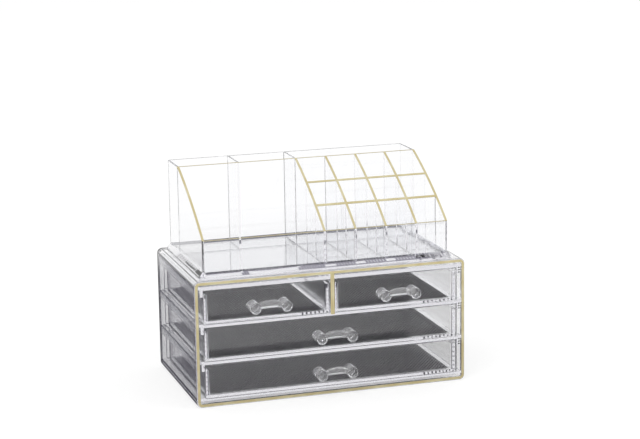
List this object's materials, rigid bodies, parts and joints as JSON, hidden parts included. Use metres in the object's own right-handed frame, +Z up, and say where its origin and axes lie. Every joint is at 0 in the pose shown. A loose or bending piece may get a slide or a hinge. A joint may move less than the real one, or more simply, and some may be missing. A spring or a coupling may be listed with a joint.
{
  "type": "makeup organizer with drawers",
  "caption": "Clear plastic cosmetics organizer: a low case of sliding drawers with bow handles, under a lift-off tray of stepped compartments, all edged in gold.",
  "frame": {"origin": "centre of the case's underside, on the surface that it stands on", "axes": "+X to the right of someone facing the drawers, -Y out of the drawer fronts, +Z up"},
  "size_m": [0.24, 0.1475, 0.1882],
  "materials": {
    "clear_plastic": "clear moulded polystyrene, polished",
    "gold_foil": "hot-stamped gold foil",
    "liner_mat": "dark extruded plastic mesh, matt"
  },
  "bodies": {
    "case": {"case_shell": "clear_plastic", "drawer_rack": "clear_plastic", "case_rim_gold": "gold_foil", "divider_gold": "gold_foil"},
    "top_left_drawer": {"drawer_top_left": "clear_plastic", "handle_top_left": "clear_plastic", "liner_top_left": "liner_mat"},
    "top_right_drawer": {"drawer_top_right": "clear_plastic", "handle_top_right": "clear_plastic", "liner_top_right": "liner_mat"},
    "middle_drawer": {"drawer_middle": "clear_plastic", "handle_middle": "clear_plastic", "liner_middle": "liner_mat"},
    "bottom_drawer": {"drawer_bottom": "clear_plastic", "handle_bottom": "clear_plastic", "liner_bottom": "liner_mat"},
    "tray": {"top_tray": "clear_plastic", "tray_edge_gold": "gold_foil"}
  },
  "joints": [
    {"name": "top_left_drawer_slide", "type": "slide", "parent": "case", "child": "top_left_drawer", "axis": [0, -1, 0], "range_m": [0, 0.1]},
    {"name": "top_right_drawer_slide", "type": "slide", "parent": "case", "child": "top_right_drawer", "axis": [0, -1, 0], "range_m": [0, 0.1]},
    {"name": "middle_drawer_slide", "type": "slide", "parent": "case", "child": "middle_drawer", "axis": [0, -1, 0], "range_m": [0, 0.1]},
    {"name": "bottom_drawer_slide", "type": "slide", "parent": "case", "child": "bottom_drawer", "axis": [0, -1, 0], "range_m": [0, 0.1]},
    {"name": "tray_lift", "type": "slide", "parent": "case", "child": "tray", "axis": [0, 0, 1], "range_m": [0, 0.1]}
  ]
}
